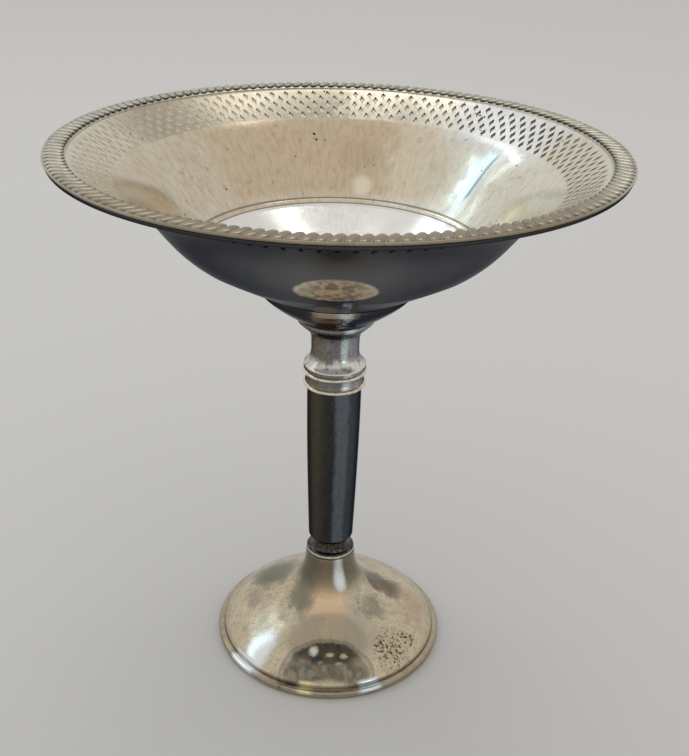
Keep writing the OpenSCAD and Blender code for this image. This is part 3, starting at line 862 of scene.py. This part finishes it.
def makeLobe(form, middle, height):
    # the upper half of a ball, blunt and narrower towards the bowl, then laid aslant in its place
    dropSelection()
    bpy.ops.mesh.primitive_uv_sphere_add(segments=12, ring_count=8, radius=0.5, location=(0, 0, 0))
    lobe = nameNew("lobe")
    openMesh(lobe)
    turnOpen(90, "Y")
    cut = (0, 0, -form["lobeCut"])
    bpy.ops.mesh.bisect(plane_co=cut, plane_no=(0, 0, 1), use_fill=True, clear_inner=True)
    closeMesh()
    for vertex in lobe.data.vertices:
        x, y, z = vertex.co
        x = math.copysign(abs(2 * x) ** form["blunt"] / 2, x)
        narrow = 1 - (1 - form["taper"]) * (0.5 - x)
        size = Vector((form["lobeLong"], form["lobeWide"] * narrow, 2 * form["lobeHigh"]))
        vertex.co = Vector((x, y, z)) * size * unit
    openMesh(lobe)
    turnOpen(form["lean"], "Z")
    bpy.ops.transform.translate(value=(middle * unit, 0, height * unit))
    closeMesh()
    copyRound(lobe, form["lobes"])
    return lobe


def makeBorder(form, shine):
    floor, top, radius = measure("gadroon_border")
    inner, bead = radius - form["width"], form["outerBead"]
    roll = bead * form["beadShare"]
    section = [(inner, 0), (radius - bead, 0)] + roundLine((radius - bead, roll), roll, -80, 100, 10)
    section += [(inner + form["width"] * share, height) for share, height in form["moulding"][::-1]]
    plate = turnOnLathe("borderPlate", section, floor, form["steps"])
    lobe = makeLobe(form, inner + form["width"] / 2, floor + form["lobeFoot"])
    plateCount = len(plate.data.vertices)
    border = joinPieces("gadroonBorder", [plate, lobe])
    crest = border.data.attributes.new("crest", "FLOAT", "POINT")
    for i, mark in enumerate(crest.data):
        # valleys and the moulding stay dark, the lobes' tops and the outer bead are bright, and the bead's
        # underside is set dark as a painted shade
        place = border.data.vertices[i].co / unit
        reach, lobed = place.xy.length, i >= plateCount
        height = (place.z - floor - form["lobeFoot"]) / form["lobeHigh"] if lobed else shine["moulding"]
        flat = not lobed and place.z < floor + shine["flatHigh"]
        mark.value = shine["flat"] if flat or reach > radius - shine["bead"] else min(max(height, 0), 1)
        if reach > radius - shine["edge"] and place.z < floor + shine["edgeHigh"]:
            mark.value = 0
    finishPiece(border, makeBorderSilver(borderTones, borderMarks), "gadroon_border",
                form["smoothTo"])
    return border


border = makeBorder(borderForm, crestForm)
print("border made:", len(border.data.polygons), "faces")


# Stem: bell, neck, collar, column and bead

stemForm = {
    "wall": 0.9, "bore": 2.6, "bossRadius": 4.6, "seat": 19.5, "dishTurn": 27, "solderGap": 0.1,
    "edge": 0.14, "edgeTurn": 30, "bellBrim": 0.12, "bellSeat": 0.1,
    "bellFlange": 17.5, "bellLedge": 0.7, "bellFootTurn": 38, "bellTopTurn": 48,
    "neckTop": 11.0, "neckWaist": 6.9, "neckWaistRise": 8.4, "neckFoot": 9.0, "neckLip": 1.3,
    "neckTopTurn": 228, "neckFootTurn": 318, "neckPull": 0.46,
    "sleeveEnd": 8.6, "sleeveWaist": 8.2, "columnTop": 7.9, "columnFoot": 6.8, "columnSteps": 24,
    "beadHigh": 1.8, "beadSmoothTo": 50, "coveWaist": 5.7, "coveTurnLow": 165, "coveTurnHigh": 25,
}


def makeBell(form):
    foot, top, radius = measure("bell_cup")
    wall, height = form["wall"], top - foot
    ledge = (radius, height - form["bellLedge"])
    side = sweepLine((form["neckTop"], 0), form["bellFootTurn"], ledge, form["bellTopTurn"])
    inside = [p for p in moveLine(side, wall) if wall < p[1] < height - wall]
    fillet = (radius - form["seat"]) * math.tan(math.radians(form["dishTurn"])) - form["solderGap"]
    section = [(form["bossRadius"], 0)] + side + [(radius, height)]
    section += [(radius - form["bellBrim"], height + fillet)]
    section += [(form["seat"] + form["bellSeat"], height), (form["bellFlange"], height)]
    section += [(form["bellFlange"], height - wall)] + inside[::-1] + [(form["bossRadius"], wall)]
    bell = turnOnLathe("bellCup", section, foot)
    softenEdges(bell, form["edge"], form["edgeTurn"])
    finishPiece(bell, makeBellSilver(bellTones, bellMarks, top), "bell_cup")


def makeNeck(form):
    foot, top, radius = measure("neck_spool")
    wall, height = form["wall"], top - foot
    waist = (form["neckWaist"], form["neckWaistRise"])
    upper = sweepLine((form["neckTop"], height - wall), form["neckTopTurn"], waist, 270, form["neckPull"])
    lower = sweepLine(waist, 270, (form["neckFoot"], form["neckLip"]), form["neckFootTurn"], form["neckPull"])
    outside = upper + lower[1:]
    inside = [p for p in moveLine(outside, -wall) if p[1] < height - wall and p[0] < form["neckFoot"] - wall]
    section = [(form["bossRadius"], height), (form["neckTop"], height)] + outside
    section += [(form["neckFoot"], 0), (form["neckFoot"] - wall, 0)] + inside[::-1]
    section += [(form["bossRadius"], height - wall)]
    neck = turnOnLathe("neckSpool", section, foot)
    softenEdges(neck, form["edge"], form["edgeTurn"])
    finishPiece(neck, neckSilver, "neck_spool")


def makeCollarRing(form, name, node):
    foot, top, radius = measure(node)
    half = (top - foot) / 2
    section = [(form["bore"], 0)] + roundLine((radius - half, half), half, -90, 90, 12)
    section += [(form["bore"], 2 * half)]
    finishPiece(turnOnLathe(name, section, foot), ringSilver, node)


def makeSleeve(form):
    foot, top, radius = measure("collar_sleeve")
    height, dip = top - foot, form["sleeveEnd"] - form["sleeveWaist"]
    hollow = (height * height / 4 + dip * dip) / (2 * dip)
    spread = math.degrees(math.asin(height / 2 / hollow))
    curve = roundLine((form["sleeveWaist"] + hollow, height / 2), hollow, 180 + spread, 180 - spread, 10)
    section = [(form["bore"], 0)] + curve + [(form["bore"], height)]
    sleeve = turnOnLathe("collarSleeve", section, foot)
    finishPiece(sleeve, neckSilver, "collar_sleeve")


def makeColumn(form):
    foot, top, radius = measure("column_tube")
    height, count = top - foot, form["columnSteps"]
    growth = form["columnTop"] - form["columnFoot"]
    side = []
    for i in range(count + 1):
        side.append((form["columnFoot"] + growth * math.sin(math.pi / 2 * i / count), height * i / count))
    inside = [(r - form["wall"], z) for r, z in side]
    column = turnOnLathe("columnTube", side + inside[::-1], foot)
    finishPiece(column, columnSilver, "column_tube")


def makeBead(form):
    foot, top, radius = measure("base_bead")
    half, height = form["beadHigh"] / 2, top - foot
    waist = (form["coveWaist"], (form["beadHigh"] + height) / 2)
    low = sweepLine((radius - half, form["beadHigh"]), form["coveTurnLow"], waist, 90, count=10)
    high = sweepLine(waist, 90, (form["columnFoot"], height), form["coveTurnHigh"], count=10)
    section = [(form["bore"], 0)] + roundLine((radius - half, half), half, -90, 90, 14) + low[1:] + high[1:]
    section += [(form["bore"], height)]
    bead = turnOnLathe("baseBead", section, foot)
    finishPiece(bead, makeBeadSilver(beadTones, foot), "base_bead", form["beadSmoothTo"])


makeBell(stemForm)
makeNeck(stemForm)
makeCollarRing(stemForm, "collarUpperRing", "collar_upper_ring")
makeSleeve(stemForm)
makeCollarRing(stemForm, "collarLowerRing", "collar_lower_ring")
makeColumn(stemForm)
makeBead(stemForm)
print("stem made")


# Foot: a swept dome in a rolled edge

footForm = {
    "wall": 0.9, "bore": 2.55, "edge": 0.2, "edgeTurn": 40,
    "skirt": 33.5, "skirtFoot": 2.0, "skirtTop": 3.0, "riseTurn": 113, "risePull": 0.28,
    "topRadius": 7.5, "topTurn": 91, "topPull": 0.52,
    "bandTop": 2.5, "bandRound": 0.9, "bandLip": 0.9, "lipHigh": 1.2, "gap": 0.05,
}


def makeShell(form):
    foot, top, radius = measure("foot_shell")
    wall = form["wall"]
    dome = sweepLine((form["skirt"], form["skirtTop"]), form["riseTurn"], (form["topRadius"], top),
                     form["topTurn"], form["risePull"], form["topPull"], 40)
    inside = [p for p in moveLine(dome, wall) if p[1] < top - wall and p[0] < form["skirt"] - wall]
    section = [(form["skirt"], form["skirtFoot"])] + dome + [(form["bore"], top), (form["bore"], top - wall)]
    section += inside[::-1] + [(form["skirt"] - wall, form["skirtFoot"])]
    shell = turnOnLathe("footShell", section)
    softenEdges(shell, form["edge"], form["edgeTurn"])
    finishPiece(shell, footSilver, "foot_shell")


def makeEdgeBand(form):
    foot, top, radius = measure("foot_edge_band")
    corner = form["bandRound"]
    groove, lip = form["skirt"] + form["gap"], form["skirt"] - form["bandLip"]
    section = [(lip, foot)] + roundLine((radius - corner, foot + corner), corner, -90, 0)
    section += roundLine((radius - corner, form["bandTop"] - corner), corner, 0, 90)
    section += [(groove, form["bandTop"]), (groove, form["lipHigh"]), (lip, form["lipHigh"])]
    finishPiece(turnOnLathe("footEdgeBand", section), footSilver, "foot_edge_band")


makeShell(footForm)
makeEdgeBand(footForm)
print("foot made")


# The pieces inside, which keep their shape from the frame

insideFinishes = {
    "steel_rod": ("steelRod", (0.52, 0.53, 0.55), (0.40, 0.40, 0.42), 1.0, 0.28, 22, 0.01),
    "rod_washer": ("steelWasher", (0.55, 0.55, 0.57), (0.42, 0.42, 0.44), 1.0, 0.30, 25, 0.01),
    "rod_nut": ("steelNut", (0.50, 0.50, 0.53), (0.36, 0.35, 0.35), 1.0, 0.32, 25, 0.01),
    "base_disc": ("steelDisc", (0.50, 0.50, 0.50), (0.36, 0.34, 0.32), 1.0, 0.34, 8, 0.02),
    "stem_boss": ("brassBoss", (0.72, 0.54, 0.28), (0.58, 0.42, 0.20), 1.0, 0.28, 20, 0.01),
    "column_filler": ("darkPitch", (0.030, 0.026, 0.022), (0.055, 0.046, 0.038), 0.0, 0.45, 10, 0.08),
    "foot_weight": ("castCement", (0.60, 0.57, 0.52), (0.46, 0.43, 0.39), 0.0, 0.82, 14, 0.15),
    "felt_pad": ("greenFelt", (0.055, 0.115, 0.080), (0.035, 0.080, 0.055), 0.0, 0.88, 60, 0.10),
}
for node, recipe in insideFinishes.items():
    piece = cadNodes[node]
    piece.data.materials.clear()
    piece.data.materials.append(makePlain(*recipe))
print("inner pieces finished")


# Floor, light and camera, in metres

studio = {
    "floorSize": 12.0, "floorColour": (0.80, 0.79, 0.77), "floorShade": 0.985, "floorRoughness": 0.6,
    "world": 0.62, "worldColour": (1.0, 0.985, 0.96),
}
lampAim = Vector((0, 0, 0.09))
# degrees to the right of +Y, over the floor and of roll, then distance, size, power and colour
lamps = {
    "slantWindow": (-61, 41.5, -27, 1.25, (0.64, 0.11), 0.22, (0.52, 0.83, 1.0)),
    "slantBar": (-46, 36.5, -20, 1.25, (0.50, 0.05), 0.08, (0.70, 0.90, 1.0)),
    "bandWindow": (-33, 47, 0, 1.25, (0.14, 0.38), 0.17, (0.90, 0.96, 1.0)),
    "leftWindow": (-83, 33, -58, 1.25, (1.20, 0.15), 0.56, (0.66, 0.86, 1.0)),
    "topBox": (6, 66, 0, 1.35, (0.66, 0.26), 1.25, (1.0, 0.99, 0.97)),
    "sideWindow": (141, 0, 0, 1.4, (0.26, 0.15), 0.30, (0.74, 0.90, 1.0)),
}


def makeStudio(plan):
    dropSelection()
    bpy.ops.mesh.primitive_plane_add(size=plan["floorSize"], location=(0, 0, 0))
    floor = nameNew("studioFloor")
    kit = Kit("paleFloor", Roughness=plan["floorRoughness"])
    pale = plan["floorColour"]
    shaded = tuple(v * plan["floorShade"] for v in pale)
    kit.colour = kit.mix(kit.noise(0.02, 2), shaded, pale)
    floor.data.materials.append(kit.finish())
    world = bpy.data.worlds.new("studioLight")
    bpy.context.scene.world = world
    world.use_nodes = True
    sky = next(n for n in world.node_tree.nodes if n.type == "BACKGROUND")
    sky.inputs["Color"].default_value = (*plan["worldColour"], 1)
    sky.inputs["Strength"].default_value = plan["world"]


def hangLamp(name, turn, rise, roll, distance, size, power, colour):
    turn, rise = math.radians(turn), math.radians(rise)
    away = Vector((math.sin(turn) * math.cos(rise), math.cos(turn) * math.cos(rise), math.sin(rise)))
    lamp = bpy.data.lights.new(name, "AREA")
    lamp.shape = "RECTANGLE"
    lamp.size, lamp.size_y = size
    lamp.energy, lamp.color = power, colour
    holder = bpy.data.objects.new(name, lamp)
    bpy.context.scene.collection.objects.link(holder)
    holder.location = lampAim + away * distance
    facing = (-away).to_track_quat("-Z", "Y") @ Quaternion((0, 0, 1), math.radians(roll))
    holder.rotation_euler = facing.to_euler()


# the photograph is 756 pixels high, and the lens is this many of its pixels long
cameraPlan = {"place": (0, -0.28385, 0.2332), "pitch": 26.829, "roll": 1.715, "yaw": 0.585,
              "lensPixels": 1098, "highPixels": 756, "film": 36, "nearest": 0.01}


def setCamera(plan):
    # looks along +Y and down by the pitch
    pitch, roll, yaw = (math.radians(plan[key]) for key in ("pitch", "roll", "yaw"))
    ahead = Vector((math.sin(yaw) * math.cos(pitch), math.cos(yaw) * math.cos(pitch), -math.sin(pitch)))
    right = Vector((math.cos(yaw), -math.sin(yaw), 0))
    up = right.cross(ahead)
    rolledRight = right * math.cos(roll) + up * math.sin(roll)
    rolledUp = up * math.cos(roll) - right * math.sin(roll)
    lens = bpy.data.cameras.new("photoCamera")
    lens.sensor_fit = "VERTICAL"
    lens.sensor_height = plan["film"]
    lens.lens = plan["lensPixels"] * plan["film"] / plan["highPixels"]
    lens.clip_start = plan["nearest"]
    lens.dof.use_dof = False
    holder = bpy.data.objects.new("photoCamera", lens)
    bpy.context.scene.collection.objects.link(holder)
    spin = Matrix((rolledRight, rolledUp, -ahead)).transposed().to_4x4()
    holder.matrix_world = Matrix.Translation(plan["place"]) @ spin
    bpy.context.scene.camera = holder


makeStudio(studio)
for name, plan in lamps.items():
    hangLamp(name, *plan)
setCamera(cameraPlan)
bpy.context.scene.view_settings.view_transform = "Standard"
print("studio made")
